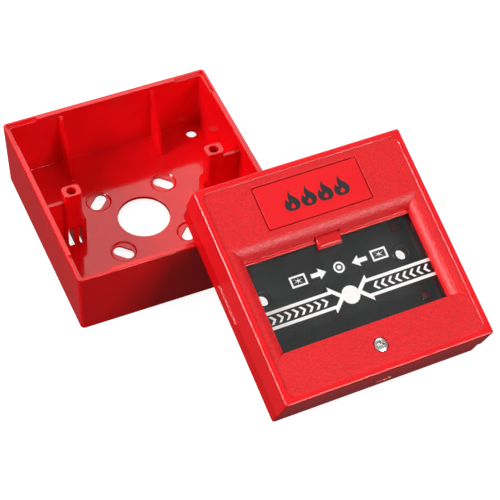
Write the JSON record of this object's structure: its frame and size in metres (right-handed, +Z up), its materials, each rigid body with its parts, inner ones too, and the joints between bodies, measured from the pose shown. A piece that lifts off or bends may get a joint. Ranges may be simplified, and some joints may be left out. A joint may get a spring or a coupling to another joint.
{
  "type": "manual_call_point",
  "caption": "Red manual call point: front unit with glass pane, red catch and hinged cover, leaning on its open square surface-mount back box.",
  "frame": {"origin": "Bottom centre of the bounding box of the whole layout; z = 0 is the bench the pieces lie on.", "axes": "+Z is up. +X and +Y are square to the sides of the back box. The front unit stands towards -Y, its face turned up and towards -Y, tilted 20.7 degrees with its top edge on the box's near rim."},
  "size_m": [0.1376, 0.1622, 0.0548],
  "materials": {
    "red_gloss": "moulded, glossy",
    "red_grain": "spark-eroded grain with plain borders",
    "red_base": "moulded, satin",
    "black_plastic": "moulded, satin",
    "clear_pane": "polished, printed in white",
    "plated_steel": "bright zinc plate",
    "plated_brass": "stamped",
    "switch_black": "moulded",
    "button_red": "moulded",
    "block_green": "moulded",
    "lead_red": "extruded PVC",
    "lead_black": "extruded PVC"
  },
  "bodies": {
    "box": {"back_box": "red_gloss"},
    "base": {"front_base": "red_base", "backing_plate": "black_plastic", "catch_pin": "plated_steel", "catch_spring": "plated_steel", "switch_case": "switch_black", "switch_terminal_common": "plated_brass", "switch_terminal_open": "plated_brass", "switch_terminal_closed": "plated_brass", "switch_screw_left": "plated_steel", "switch_screw_right": "plated_steel", "terminal_block": "block_green", "terminal_screw_left": "plated_steel", "terminal_screw_right": "plated_steel", "terminal_bar_left": "plated_steel", "terminal_bar_right": "plated_steel", "lead_common": "lead_red", "lead_switched": "lead_black"},
    "cover": {"front_cover": "red_grain", "label_plate": "red_gloss"},
    "screw": {"cover_screw": "plated_steel"},
    "pane": {"glass_pane": "clear_pane"},
    "catch": {"catch_lever": "red_gloss"},
    "plunger": {"switch_plunger": "button_red"}
  },
  "joints": [
    {"name": "unit_lift", "type": "slide", "parent": "box", "child": "base", "axis": [0, 0, 1], "range_m": [0, 0.06]},
    {"name": "cover_hinge", "type": "hinge", "parent": "base", "child": "cover", "pos_m": [0.02148, 0.0075, 0.04058], "axis": [-0.9972, -0.0544, 0.0517], "range_deg": [0, 95]},
    {"name": "cover_screw_turn", "type": "hinge", "parent": "cover", "child": "screw", "pos_m": [0.0249, -0.06954, 0.02538], "axis": [0.0676, -0.3513, 0.9338], "continuous": true},
    {"name": "pane_press", "type": "slide", "parent": "base", "child": "pane", "axis": [-0.0676, 0.3513, -0.9338], "range_m": [0, 0.0015], "stiffness_N_per_m": 2000, "springref_m": -0.0005},
    {"name": "catch_swing", "type": "hinge", "parent": "base", "child": "catch", "pos_m": [0.0226, -0.01693, 0.03656], "axis": [0.9972, 0.0544, -0.0517], "range_deg": [0, 9]},
    {"name": "plunger_slide", "type": "slide", "parent": "base", "child": "plunger", "axis": [-0.0326, 0.9347, 0.354], "range_m": [0, 0.00075]}
  ],
  "couplings": [
    {"joint": "catch_swing", "follows": "pane_press", "rad_per_m": 102},
    {"joint": "plunger_slide", "follows": "pane_press", "ratio": 0.48}
  ]
}
